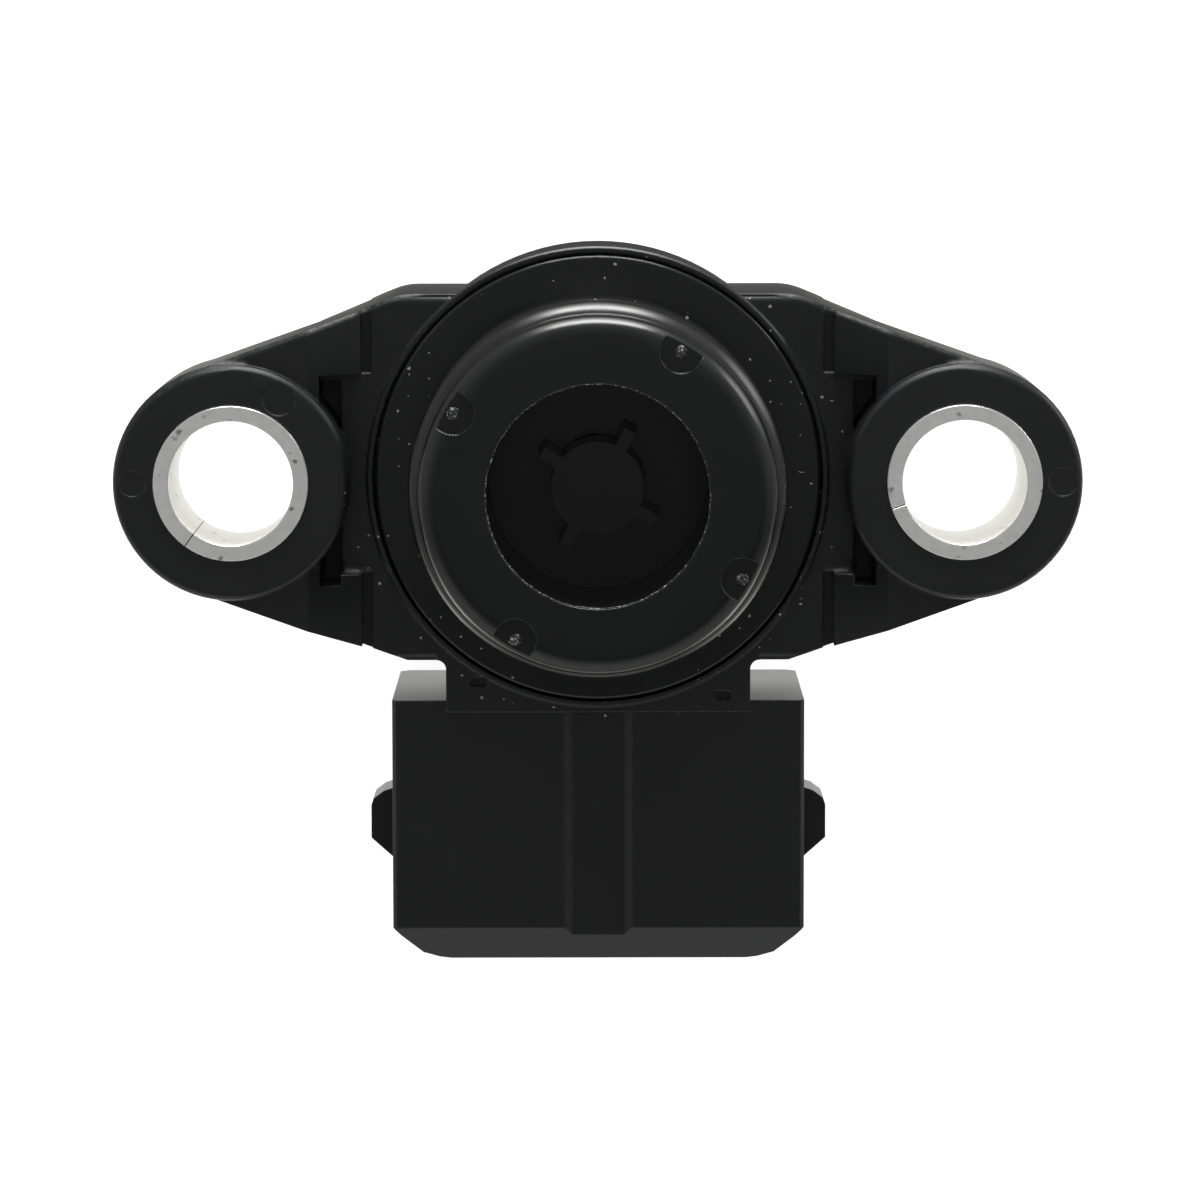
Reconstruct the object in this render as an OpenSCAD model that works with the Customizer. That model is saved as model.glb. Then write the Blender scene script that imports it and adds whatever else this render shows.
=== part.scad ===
// Manifold absolute pressure sensor: a moulded housing with two bolt ears, a plug-in
// pressure port with an O-ring, and a three-way side-latch connector. Millimetres.
// The origin is on the port axis, in the plane where the two limiters meet the manifold.
// +Z runs out along the port, X runs from bolt to bolt and the connector points along -Y.

/* [Mounting ears] */
// Distance between the two bolt axes
bolt_pitch = 38.74; // [37.5:0.1:46]
// Bore of each compression limiter
limiter_bore_d = 6.6; // [5:0.1:6.8]
// Wall of each compression limiter
limiter_wall = 0.8; // [0.5:0.05:1]
// Length of each compression limiter, and depth of the ears
limiter_length = 8; // [7:0.1:10]
// Gap left where each limiter strip is rolled shut
limiter_seam = 0.06; // [0.05:0.01:0.3]
// Height of each limiter above its boss
limiter_proud = 0.15; // [0.05:0.05:0.4]
// Plastic around each limiter
boss_wall = 2.16; // [1.6:0.02:2.6]
// Rounded edge of each boss
boss_edge_r = 0.4; // [0.1:0.02:0.6]
// Depth of the pits between a boss and the body, from the mounting plane
pit_depth = 5.6; // [4.6:0.1:7]

/* [Body] */
// Depth of the whole body, from the mounting plane to its flat back
body_depth = 18; // [16:0.1:20]
// Half of the body's height in the plane of the ears
body_half_y = 9.8; // [9.2:0.1:11]
// Half of the flat stretch along the top of the body
top_flat_half = 10.55; // [9.4:0.05:10.8]
// Half of the flat stretch along the bottom of the body
bottom_flat_half = 10.2; // [9.2:0.05:10.4]
// Radius where the flat top turns into the slope of the ears
shoulder_r = 3.5; // [1:0.5:6]
// Depth of the wings behind the ears, from the mounting plane
wing_depth = 14; // [12:0.1:15]
// Distance from the port axis to the end of each wing
wing_reach = 15.4; // [13.6:0.1:16]
// Radius of the round cup that holds the port
cup_r = 12.35; // [12:0.05:12.8]
// Drop from the mounting plane to the front of the body
front_drop = 3.6; // [3:0.1:4.2]
// Height of the cup's rim above the front of the body
rim_proud = 0.25; // [0.1:0.05:0.5]
// Thickness of the cup's rim beside the port flange
rim_w = 0.33; // [0.25:0.01:0.5]
// Draft of the cup wall, from its rim to its back
cup_draft = 0.2; // [0:0.05:0.4]
// Bevel round the back of the body
back_bevel = 2.4; // [0.4:0.1:3]
// Wall behind the sensing chamber
back_wall = 3.4; // [2:0.1:4]

/* [Port] */
// Height of the port's tip above the mounting plane
port_height = 8.3; // [7.6:0.1:12]
// Bore of the port
port_bore_d = 11.62; // [10:0.02:12]
// Outside diameter of the port
port_d = 18.56; // [17.4:0.02:19]
// Rounded edge of the port's tip
tip_edge_r = 0.93; // [0.3:0.01:1.1]
// Thickness of the port's flange
flange_t = 1.25; // [1:0.05:1.6]
// Running gap between the flange and the cup's rim
flange_gap = 0.14; // [0.1:0.02:0.3]
// Section of the O-ring
o_ring_d = 2.3; // [1.8:0.1:2.6]
// Height of the O-ring above the mounting plane
o_ring_z = 4.15; // [3.6:0.05:4.6]
// How far the O-ring stands out of its groove
o_ring_proud = 0.62; // [0.5:0.01:0.9]
// Radius of the splash turret inside the bore
turret_r = 2.45; // [2:0.05:3]
// Reach of the turret's fins from the port axis
fin_reach = 3.5; // [3.2:0.1:4.4]
// Thickness of each fin
fin_t = 0.7; // [0.4:0.05:1]
// Height of the turret above the mounting plane
turret_height = 3.2; // [1:0.1:5]
// Radius of each gate pocket in the tip
gate_pocket_r = 1.1; // [0.8:0.05:1.2]
// Depth of each gate pocket
gate_pocket_depth = 0.25; // [0.1:0.05:0.4]

/* [Connector] */
// Width of the connector
plug_w = 22.14; // [20.4:0.02:24]
// Distance from the port axis to the connector's shoulder
shoulder_y = 12.02; // [11.6:0.02:14]
// Length of the connector from its shoulder to its mouth
plug_length = 14.2; // [12.5:0.1:18]
// Drop from the front of the body to the front of the connector
plug_drop = 0.4; // [0.2:0.05:1]
// Length of the tapered lead-in at the mouth
lead_in = 1.85; // [1:0.05:2]
// Wall between the socket and the connector's front and back
socket_wall = 2.5; // [1.6:0.1:2.8]
// Wall between the socket and the connector's sides
socket_side_wall = 2.75; // [2.4:0.05:3.2]
// Depth of the socket
socket_depth = 12.4; // [10.5:0.1:13.2]
// Reach of each latch lug from the connector's side
lug_reach = 1.35; // [0.8:0.05:2]
// Thickness of each latch lug along the port axis
lug_t = 3.6; // [2:0.1:5]
// Width of the flat keyway down the connector's front
keyway_w = 2.85; // [1.5:0.05:4]
// Depth of the keyway
keyway_depth = 0.3; // [0.1:0.05:0.5]
// Width of the neck between the body and the connector
neck_w = 16.3; // [14:0.1:18]
// Distance between neighbouring terminals
terminal_pitch = 5; // [4:0.1:5.2]
// Width of each terminal's blade
blade_w = 2.8; // [1.6:0.1:3]
// Thickness of each terminal's blade
blade_t = 0.8; // [0.6:0.05:1]
// Blade that shows in the socket
blade_length = 7.4; // [6:0.1:8]

/* [Sensing chamber] */
// Width of the ledge that carries the port's flange
seat_w = 1.42; // [1.2:0.02:1.8]
// Thickness of the circuit board
board_t = 1; // [0.6:0.1:1.4]
// Depth of the circuit board's upper face, from the mounting plane
board_depth = 7.6; // [7.4:0.1:8]
// Side of the pressure chip and of its glass base
chip_w = 2.4; // [1.8:0.1:2.8]
// Thickness of the pressure chip
chip_t = 0.4; // [0.3:0.05:0.5]
// Thickness of the glass base under the pressure chip
glass_t = 1; // [0.8:0.05:1.1]
// Inside radius of the ring that holds the gel
gel_r = 3; // [2.8:0.05:3.3]
// Wall of the ring that holds the gel
gel_ring_wall = 0.7; // [0.4:0.05:0.9]
// Wall of the seal between the port and the board
cell_seal_w = 1.2; // [0.8:0.05:1.3]
// Thickness of the seal between the port and the board
cell_seal_t = 0.7; // [0.4:0.05:1]
// Diameter of each bond wire
wire_d = 0.12; // [0.08:0.01:0.2]

/* [Hidden] */
$fn = 96;

// Colours as they look in the hand
plastic_black = "#202124";
rubber_black = "#141416";
steel_grey = "#b4b6b6";
tin_grey = "#c3c6c8";
board_green = "#2f5d41";

// Small allowances: a close fit, a cutting overlap and a clearance hole
fit_gap = 0.02;
over = 1;
hole_gap = 0.1;

// Levels along the port axis
boss_z = -limiter_proud;
ear_back_z = -limiter_length;
front_z = -front_drop;
back_z = -body_depth;
rim_z = front_z + rim_proud;
rim_edge = 0.1;
flange_top_z = rim_z + 0.1;
flange_under_z = flange_top_z - flange_t;
bond_line = 0.1;
ledge_z = flange_under_z - bond_line;
chamber_floor_z = back_z + back_wall;
board_top_z = -board_depth;
board_under_z = board_top_z - board_t;

// The ears
ear_x = bolt_pitch / 2;
limiter_r = limiter_bore_d / 2;
limiter_outer_r = limiter_r + limiter_wall;
boss_r = limiter_outer_r + boss_wall;
block_half_x = cup_r + 0.1;
web_flat_half = top_flat_half - 0.3;
web_inset = 0.04;
bottom_inset = 0.11;
top_slope_r = boss_r - 0.61;
bottom_bend_r = 0.5;
left_seam_angle = 233.5;
right_seam_angle = 200;
web_high_inset = 4;
web_high_x = ear_x - web_high_inset;
web_high_z = boss_z - 0.7;
web_low_z = front_z + 0.9;
groove_w = 0.55;
groove_x = block_half_x - 0.4;
groove_z = front_z - 0.4;
recess_w = 1.2;
recess_top_y = 5.6;
recess_bottom_y = 5.05;
pit_w = 1.1;
pit_top_y = 5.2;
pit_bottom_y = 5.6;
block_edge_r = 0.45;
wing_z = -wing_depth;
wing_taper = 0.5;
mark_depth = 0.03;
mark_ring_r = (limiter_outer_r + boss_r) / 2;
boss_marks = [[-1, 180, 0.69], [-1, 60, 0.9], [1, 0, 0.74]];
back_mark_r = 1.25;

// The cup and the port
cup_inner_r = cup_r - rim_w;
cup_back_r = cup_r - cup_draft;
flange_r = cup_inner_r - flange_gap;
flange_edge = 0.2;
chamber_r = cup_inner_r - seat_w;
port_r = port_d / 2;
port_bore_r = port_bore_d / 2;
o_ring_centre_r = port_r + o_ring_proud - o_ring_d / 2;
groove_floor_r = o_ring_centre_r - o_ring_d / 2 - fit_gap;
o_ring_groove_h = o_ring_d * 1.13;
groove_edge = 0.15;
port_floor_t = 1.4;
port_floor_z = front_z + 1.2;
base_fillet_r = 0.5;
spigot_r = chamber_r - 0.15;
spigot_wall = 0.8;
spigot_h = 1.6;
cell_skirt_r = gel_r + gel_ring_wall + 0.7;
core_wall = 0.8;
core_inner_r = port_bore_r + core_wall;
core_outer_r = groove_floor_r + 0.3;
core_top_z = o_ring_z - o_ring_groove_h / 2 - 1.1;
turret_channel_r = turret_r - 1.1;
turret_roof_t = 1.8;
turret_window_r = 0.6;
turret_window_z = port_floor_z + turret_window_r + 0.3;
fin_angles = [60, 147, 240, 330];
gate_angles = [60, 150, 240, 330];
gate_inset = 0.73;
gate_r = port_r - gate_inset;
gate_stub_r = 0.28;
gate_stub_h = 0.15;
adhesive_groove_w = seat_w / 2;
adhesive_groove_depth = 0.5;
adhesive_r = (chamber_r + cup_inner_r) / 2;

// The connector
plug_front_z = front_z - plug_drop;
plug_half = plug_w / 2;
mouth_y = -(shoulder_y + plug_length);
socket_half = plug_half - socket_side_wall;
socket_front_z = plug_front_z - socket_wall;
socket_back_z = back_z + socket_wall;
socket_mid_z = (socket_front_z + socket_back_z) / 2;
socket_floor_y = mouth_y + socket_depth;
socket_corner_r = 1.4;
neck_half = neck_w / 2;
neck_end_y = -(shoulder_y + 0.6);
neck_fillet_r = 0.5;
lead_in_drop = 1.3;
mouth_corner = [[0, 1.85], [0.45, 1.37], [1.6, 0.36], [2.5, 0.08], [3.1, 0]];
plug_front_edge = 0.2;
plug_back_edge = 0.5;
keyway_slope = 0.4;
lug_start = 5.4;
lug_start_y = -(shoulder_y + lug_start);
lug_outline = [[0, 0], [0.5, 0.22], [0.9, 0.63], [1, 1], [1, 2.8], [0, 4]];
neck_marks_at = [[-6.4, 1.65], [6.65, 0.9]];
neck_mark_size = [0.95, 0.5];
neck_mark_r = 0.2;
neck_mark_depth = 0.3;
blade_tip = [0.6, 1];
post_w = 1.2;
post_inset = 3.2;
post_y = -(chamber_r - post_inset);
post_top_z = board_top_z + 0.7;
resin_y = post_y - 1.3;
resin_top_z = socket_mid_z + blade_t / 2 + 0.5;

// The parts on the board
glass_top_z = board_top_z + glass_t;
chip_top_z = glass_top_z + chip_t;
wire_leg_x = chip_w / 2 - 0.2;
wire_bend_r = 0.45;
wire_turn_z = chip_top_z + 0.1;
wire_spacing = 0.6;
gel_top_z = wire_turn_z + wire_bend_r + wire_d / 2 + 0.15;
gel_ring_top_z = gel_top_z + 0.2;
board_r = chamber_r - 0.3;
standoff_r = 1.1;
standoff_inset = 1.6;
standoff_ring_r = chamber_r - standoff_inset;
standoff_angles = [20, 160, 200, 340];
stake_r = 0.5;
stake_proud = 0.4;
package_size = [4, 3, 1];
package_y = board_r - 1.2 - package_size.y;
capacitor_size = [1.25, 2, 0.9];
capacitor_inset = 2.3;
capacitor_ring_r = board_r - capacitor_inset - capacitor_size.x;
capacitor_angles = [180, 0, 47];
solder_foot_r = 1.15;
solder_top_r = 0.85;
solder_h = 0.45;

// Angle of the outward normal of the line from a corner of the body to a circle round a bolt
function ear_normal(corner, r) =
    let (d = corner - [ear_x, 0]) atan2(d.y, d.x) - acos(r / norm(d));

// Points on an arc
function arc(centre, r, from, to, steps = 8) =
    [for (i = [0 : steps]) let (a = from + (to - from) * i / steps)
        centre + r * [cos(a), sin(a)]];

// One edge of the body's outline, from beside the right bolt to the flat
function outline_edge(flat_half, bend_r, r) =
    let (normal = ear_normal([flat_half, body_half_y], r),
         bend_x = flat_half - bend_r * tan((90 - normal) / 2))
    concat(
        [[ear_x, 0] + r * [cos(normal), sin(normal)]],
        arc([bend_x, body_half_y - bend_r], bend_r, normal, 90)
    );

function flipped(points, x, y) = [for (p = points) [p.x * x, p.y * y]];

function reversed(points) = [for (i = [len(points) - 1 : -1 : 0]) points[i]];

// The outline from the middle of one ear to that of the other
module outline(top_half, top_r) {
    top = outline_edge(top_half, shoulder_r, top_r);
    bottom = outline_edge(bottom_flat_half, bottom_bend_r, boss_r - bottom_inset);
    polygon(concat(
        [[ear_x, 0]], top, reversed(flipped(top, -1, 1)),
        [[-ear_x, 0]], flipped(bottom, -1, -1), reversed(flipped(bottom, 1, -1))
    ));
}

// A profile in X and Z, drawn out along Y
module along_y(length) rotate([90, 0, 0]) linear_extrude(length, center = true) children();

// A profile in Y and Z, drawn out along X
module along_x(length) rotate([90, 0, 90]) linear_extrude(length, center = true) children();

// A flat ring
module ring(outer_r, inner_r, h) difference() {
    cylinder(r = outer_r, h = h);
    translate([0, 0, -over]) cylinder(r = inner_r, h = h + 2 * over);
}

// The block behind the port, with a bevel round its back
module body_block() intersection() {
    front_edge = concat([[body_half_y + over, front_z - block_edge_r]], arc(
        [body_half_y - block_edge_r, front_z - block_edge_r], block_edge_r, 0, 90, 6));
    translate([0, 0, back_z]) linear_extrude(front_z - back_z)
        outline(top_flat_half, top_slope_r);
    along_x(2 * block_half_x + over) polygon(concat(
        [[-body_half_y - over, back_z + back_bevel + over],
         [-body_half_y + back_bevel, back_z], [body_half_y - back_bevel, back_z],
         [body_half_y + over, back_z + back_bevel + over]],
        front_edge, reversed(flipped(front_edge, -1, 1))
    ));
    along_y(2 * body_half_y + over) polygon([
        [-block_half_x, front_z], [-block_half_x, back_z + back_bevel],
        [-block_half_x + back_bevel, back_z], [block_half_x - back_bevel, back_z],
        [block_half_x, back_z + back_bevel], [block_half_x, front_z]
    ]);
}

// The wings that carry the body's outline on behind the ears
module wings() intersection() {
    translate([0, 0, wing_z]) linear_extrude(web_low_z - over - wing_z)
        outline(top_flat_half, top_slope_r);
    along_y(2 * body_half_y + over) polygon([
        [-wing_reach, web_low_z - over], [-wing_reach, wing_z + wing_taper],
        [-wing_reach + wing_taper, wing_z], [wing_reach - wing_taper, wing_z],
        [wing_reach, wing_z + wing_taper], [wing_reach, web_low_z - over]
    ]);
}

// The round outside of the cup, which stands past the flat top of the block
module cup() rotate_extrude() polygon([
    [0, back_z], [cup_back_r - back_bevel, back_z], [cup_back_r, back_z + back_bevel],
    [cup_r, rim_z - rim_edge], [cup_r - rim_edge, rim_z], [0, rim_z]
]);

// The web of both ears: it slopes down from the bosses to the body
module webs() intersection() {
    translate([0, 0, ear_back_z]) linear_extrude(-ear_back_z)
        outline(web_flat_half, boss_r - web_inset);
    for (side = [0, 1]) mirror([side, 0, 0]) along_y(2 * body_half_y + over) polygon([
        [block_half_x - over, ear_back_z], [ear_x + boss_r, ear_back_z],
        [ear_x + boss_r, web_high_z], [web_high_x, web_high_z],
        [block_half_x, web_low_z], [block_half_x, front_z - over],
        [block_half_x - over, front_z - over]
    ]);
}

// What is cut between the body and the right boss: the groove, the recess and the pits
module web_pockets() {
    translate([groove_x, -body_half_y - over, groove_z])
        cube([groove_w, body_half_y + over - recess_bottom_y, over - groove_z]);
    translate([groove_x, recess_top_y, groove_z])
        cube([groove_w, body_half_y + over - recess_top_y, over - groove_z]);
    translate([block_half_x, -recess_bottom_y, front_z])
        cube([recess_w + pit_w, recess_bottom_y + recess_top_y, over - front_z]);
    translate([block_half_x + recess_w, -pit_bottom_y, -pit_depth])
        cube([pit_w, pit_bottom_y + pit_top_y, pit_depth + over]);
}

// The round bosses that hold the limiters
module bosses() for (side = [-1, 1]) translate([side * ear_x, 0, 0])
    rotate_extrude() polygon(concat(
        [[0, boss_z], [0, ear_back_z], [boss_r, ear_back_z]],
        arc([boss_r - boss_edge_r, boss_z - boss_edge_r], boss_edge_r, 0, 90, 4)
    ));

// The shallow marks that the ejector pins leave on the bosses and the back
module ejector_marks() {
    for (mark = boss_marks) translate([mark[0] * ear_x, 0, boss_z - mark_depth])
        rotate(mark[1]) translate([mark_ring_r, 0]) cylinder(r = mark[2], h = over);
    for (x = [-1, 1], y = [-1, 1])
        translate([x * chamber_r / 2, y * chamber_r / 2, back_z - over])
            cylinder(r = back_mark_r, h = over + mark_depth);
}

// The neck that carries the connector, with small rounds where it leaves the body
module neck() {
    neck_top_y = -body_half_y;
    translate([0, 0, back_z + back_bevel]) linear_extrude(front_z - back_z - back_bevel) {
        translate([-neck_half, neck_end_y]) square([neck_w, neck_top_y - neck_end_y + over]);
        for (side = [0, 1]) mirror([side, 0]) difference() {
            translate([neck_half, neck_top_y - neck_fillet_r])
                square([neck_fillet_r, neck_fillet_r + over]);
            translate([neck_half + neck_fillet_r, neck_top_y - neck_fillet_r])
                circle(neck_fillet_r);
        }
    }
}

// The connector's shell: three outlines that meet at right angles
module plug_shell() {
    corner = [for (p = mouth_corner) [plug_half - p[0], mouth_y + p[1]]];
    intersection() {
        translate([0, 0, back_z]) linear_extrude(plug_front_z - back_z) polygon(concat(
            [[plug_half, -shoulder_y]], corner, reversed(flipped(corner, -1, 1)),
            [[-plug_half, -shoulder_y]]
        ));
        along_x(plug_w + over) polygon([
            [-shoulder_y, plug_front_z], [-shoulder_y, back_z],
            [mouth_y + lead_in, back_z], [mouth_y, back_z + lead_in_drop],
            [mouth_y, plug_front_z - lead_in_drop], [mouth_y + lead_in, plug_front_z]
        ]);
        along_y(4 * plug_length + 2 * shoulder_y) polygon([
            for (side = [1, -1], p = (side > 0 ? [0, 1, 2, 3] : [3, 2, 1, 0]))
                [side * [plug_half - plug_front_edge, plug_half, plug_half,
                         plug_half - plug_back_edge][p],
                 [plug_front_z, plug_front_z - plug_front_edge,
                  back_z + plug_back_edge, back_z][p]]
        ]);
    }
}

// A latch lug: a steep face towards the body and a ramp towards the mouth
module latch_lug() translate([0, 0, socket_mid_z - lug_t / 2]) linear_extrude(lug_t)
    polygon(concat(
        [[plug_half - over, lug_start_y]],
        [for (p = lug_outline) [plug_half + p[0] * lug_reach, lug_start_y - p[1]]],
        [[plug_half - over, lug_start_y - lug_outline[5][1]]]
    ));

// A rectangle with round corners
module rounded_rectangle(size, r) {
    square([size.x, size.y - 2 * r], center = true);
    square([size.x - 2 * r, size.y], center = true);
    for (x = [-1, 1], y = [-1, 1])
        translate([x * (size.x / 2 - r), y * (size.y / 2 - r)]) circle(r);
}

// The socket that takes the mating plug
module socket() translate([0, mouth_y - over, socket_mid_z]) rotate([-90, 0, 0])
    linear_extrude(socket_depth + over) rounded_rectangle(
        [2 * socket_half, socket_front_z - socket_back_z], socket_corner_r);

// The shallow keyway with sloping sides down the connector's front
module keyway() translate([0, mouth_y, 0]) rotate([-90, 0, 0])
    linear_extrude(plug_length + over) polygon([
        [-keyway_w / 2, -plug_front_z + keyway_depth],
        [keyway_w / 2, -plug_front_z + keyway_depth],
        [keyway_w / 2 + keyway_slope, -plug_front_z],
        [keyway_w / 2 + keyway_slope, -plug_front_z - over],
        [-keyway_w / 2 - keyway_slope, -plug_front_z - over],
        [-keyway_w / 2 - keyway_slope, -plug_front_z]
    ]);

// The two small sink marks on the neck
module neck_marks() for (mark = neck_marks_at)
    translate([mark.x, neck_end_y + mark.y, front_z - neck_mark_depth])
        linear_extrude(over) rounded_rectangle(neck_mark_size, neck_mark_r);

// The inside of the cup: the flange's seat, the glue groove and the sensing chamber
module chamber() {
    translate([0, 0, ledge_z]) cylinder(r = cup_inner_r, h = over - ledge_z);
    difference() {
        translate([0, 0, chamber_floor_z])
            cylinder(r = chamber_r, h = over - chamber_floor_z);
        for (a = standoff_angles)
            rotate(a) translate([standoff_ring_r, 0, chamber_floor_z - over]) {
                cylinder(r = standoff_r, h = board_under_z - chamber_floor_z + over);
                cylinder(r = stake_r, h = board_top_z - chamber_floor_z + over + stake_proud);
            }
    }
    translate([0, 0, ledge_z - adhesive_groove_depth])
        ring(adhesive_r + adhesive_groove_w / 2, adhesive_r - adhesive_groove_w / 2,
             adhesive_groove_depth + over);
}

// One terminal blade with its chamfered tip and the post that rises to the board
module terminal(allowance = 0) {
    tip_y = socket_floor_y - blade_length;
    half = blade_w / 2 + allowance;
    translate([0, 0, socket_mid_z - blade_t / 2 - allowance])
        linear_extrude(blade_t + 2 * allowance) polygon([
            [-half, post_y - blade_t / 2], [-half, tip_y + blade_tip.y],
            [-half + blade_tip.x, tip_y], [half - blade_tip.x, tip_y],
            [half, tip_y + blade_tip.y], [half, post_y - blade_t / 2],
            [post_w / 2, post_y + blade_t / 2], [-post_w / 2, post_y + blade_t / 2]
        ]);
    translate([-post_w / 2, post_y - blade_t / 2, socket_mid_z])
        cube([post_w, blade_t, post_top_z - socket_mid_z]);
}

module terminal_at(place) color(tin_grey)
    translate([place * terminal_pitch, 0, 0]) terminal();

// The moulded housing: body, cup, ears, neck and connector in one piece
module housing() color(plastic_black) difference() {
    union() {
        difference() {
            union() {
                webs();
                body_block();
                wings();
            }
            for (side = [0, 1]) mirror([side, 0, 0]) web_pockets();
        }
        bosses();
        cup();
        neck();
        difference() {
            plug_shell();
            keyway();
        }
        for (side = [0, 1]) mirror([side, 0, 0]) latch_lug();
    }
    chamber();
    socket();
    for (place = [-1 : 1]) translate([place * terminal_pitch, 0, 0]) terminal(fit_gap);
    for (side = [-1, 1]) translate([side * ear_x, 0, ear_back_z - over])
        cylinder(r = limiter_outer_r + fit_gap, h = limiter_length + 2 * over);
    ejector_marks();
    neck_marks();
}

// The port, moulded by itself: flange, nozzle, O-ring groove, bore and splash turret
module port_fitting() color(plastic_black) difference() {
    union() {
        rotate_extrude() polygon(concat(
            [[0, flange_under_z], [flange_r, flange_under_z]],
            arc([flange_r - flange_edge, flange_top_z - flange_edge], flange_edge, 0, 90, 4),
            arc([port_r + base_fillet_r, flange_top_z + base_fillet_r], base_fillet_r, 270, 180, 6),
            [[port_r, o_ring_z - o_ring_groove_h / 2 - groove_edge],
             [port_r - groove_edge, o_ring_z - o_ring_groove_h / 2],
             [groove_floor_r, o_ring_z - o_ring_groove_h / 2],
             [groove_floor_r, o_ring_z + o_ring_groove_h / 2],
             [port_r - groove_edge, o_ring_z + o_ring_groove_h / 2],
             [port_r, o_ring_z + o_ring_groove_h / 2 + groove_edge]],
            arc([port_r - tip_edge_r, port_height - tip_edge_r], tip_edge_r, 0, 90, 6),
            [[0, port_height]]
        ));
        translate([0, 0, flange_under_z - spigot_h])
            ring(spigot_r, spigot_r - spigot_wall, spigot_h + over / 2);
        translate([0, 0, board_top_z + cell_seal_t])
            cylinder(r = cell_skirt_r + cell_seal_w,
                     h = flange_under_z - board_top_z - cell_seal_t + over / 2);
    }
    difference() {
        translate([0, 0, port_floor_z])
            cylinder(r = port_bore_r, h = port_height - port_floor_z + over);
        turret();
    }
    translate([0, 0, board_top_z]) cylinder(r = cell_skirt_r,
        h = port_floor_z - port_floor_t - board_top_z);
    translate([0, 0, board_top_z]) cylinder(r = turret_channel_r,
        h = turret_height - turret_roof_t - board_top_z);
    for (a = gate_angles) rotate(a - 45) translate([turret_channel_r / 2, 0, turret_window_z])
        rotate([0, 90, 0]) cylinder(r = turret_window_r, h = turret_r);
    translate([0, 0, flange_under_z - over])
        ring(core_outer_r, core_inner_r, core_top_z - flange_under_z + over);
    for (a = gate_angles) rotate(a) gate_pocket();
}

// The turret that keeps splashes off the chip, with four fins
module turret() {
    translate([0, 0, port_floor_z - over])
        cylinder(r = turret_r, h = turret_height - port_floor_z + over);
    for (a = fin_angles) rotate(a)
        translate([0, -fin_t / 2, port_floor_z - over])
            cube([fin_reach, fin_t, turret_height - port_floor_z + over]);
}

// A gate pocket that opens through the rounded edge, with the gate's stub left in it
module gate_pocket() translate([gate_r, 0, port_height - gate_pocket_depth])
    difference() {
        union() {
            cylinder(r = gate_pocket_r, h = gate_pocket_depth + over);
            translate([0, -gate_pocket_r, 0])
                cube([over, 2 * gate_pocket_r, gate_pocket_depth + over]);
        }
        translate([0, 0, -over]) cylinder(r = gate_stub_r, h = over + gate_stub_h);
    }

// The O-ring that seals the port in the manifold
module port_o_ring() color(rubber_black) translate([0, 0, o_ring_z]) rotate_extrude()
    translate([o_ring_centre_r, 0]) circle(o_ring_d / 2, $fn = 48);

// A compression limiter, rolled from strip, with its seam at the angle given
module limiter(seam_angle) difference() {
    translate([0, 0, -limiter_length]) ring(limiter_outer_r, limiter_r, limiter_length);
    rotate(seam_angle) translate([0, -limiter_seam / 2, -limiter_length - over])
        cube([2 * limiter_outer_r, limiter_seam, limiter_length + 2 * over]);
}

module limiter_left() color(steel_grey) translate([-ear_x, 0, 0]) limiter(left_seam_angle);

module limiter_right() color(steel_grey) translate([ear_x, 0, 0]) limiter(right_seam_angle);

// Resin poured round the terminals where they enter the chamber
module terminal_resin() color("#2b2a26") difference() {
    intersection() {
        translate([0, 0, chamber_floor_z])
            cylinder(r = chamber_r, h = resin_top_z - chamber_floor_z);
        translate([-chamber_r, -chamber_r - over, chamber_floor_z])
            cube([2 * chamber_r, chamber_r + over + resin_y, resin_top_z - chamber_floor_z]);
    }
    for (place = [-1 : 1]) translate([place * terminal_pitch, 0, 0]) terminal(fit_gap);
}

// The round circuit board, staked on four stand-offs
module circuit_board() color(board_green) difference() {
    translate([0, 0, board_under_z]) cylinder(r = board_r, h = board_t);
    for (place = [-1 : 1])
        translate([place * terminal_pitch, post_y, board_under_z - over])
            linear_extrude(board_t + 2 * over)
                square([post_w + 2 * hole_gap, blade_t + 2 * hole_gap], center = true);
    for (a = standoff_angles) rotate(a)
        translate([standoff_ring_r, 0, board_under_z - over])
            cylinder(r = stake_r + fit_gap, h = board_t + 2 * over);
}

// The glass base that the pressure chip is bonded to
module cell_base() color("#a9bcc0") translate([-chip_w / 2, -chip_w / 2, board_top_z])
    cube([chip_w, chip_w, glass_t]);

// The silicon pressure chip, etched thin in its middle from below
module pressure_chip() color("#5d6570") difference() {
    translate([-chip_w / 2, -chip_w / 2, glass_top_z]) cube([chip_w, chip_w, chip_t]);
    translate([-chip_w / 4, -chip_w / 4, glass_top_z - over])
        cube([chip_w / 2, chip_w / 2, over + chip_t * 0.85]);
}

// The ring that keeps the gel round the chip
module gel_ring() color("#d8d3c4") translate([0, 0, board_top_z])
    ring(gel_r + gel_ring_wall, gel_r, gel_ring_top_z - board_top_z);

// One bond wire: up from the board, over and down to the chip
module bond_wire(allowance = 0) {
    r = wire_d / 2 + allowance;
    board_leg_x = wire_leg_x + 2 * wire_bend_r;
    translate([board_leg_x, 0, board_top_z])
        cylinder(r = r, h = wire_turn_z - board_top_z, $fn = 24);
    translate([wire_leg_x, 0, chip_top_z])
        cylinder(r = r, h = wire_turn_z - chip_top_z, $fn = 24);
    translate([wire_leg_x + wire_bend_r, 0, wire_turn_z]) rotate([90, 0, 0])
        rotate_extrude(angle = 180, $fn = 48)
            translate([wire_bend_r, 0]) circle(r, $fn = 24);
}

module all_wires(allowance = 0) for (side = [0, 180], y = [-wire_spacing, 0, wire_spacing])
    rotate(side) translate([0, y, 0]) bond_wire(allowance);

module bond_wires() color("#c9cdd2") all_wires();

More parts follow.
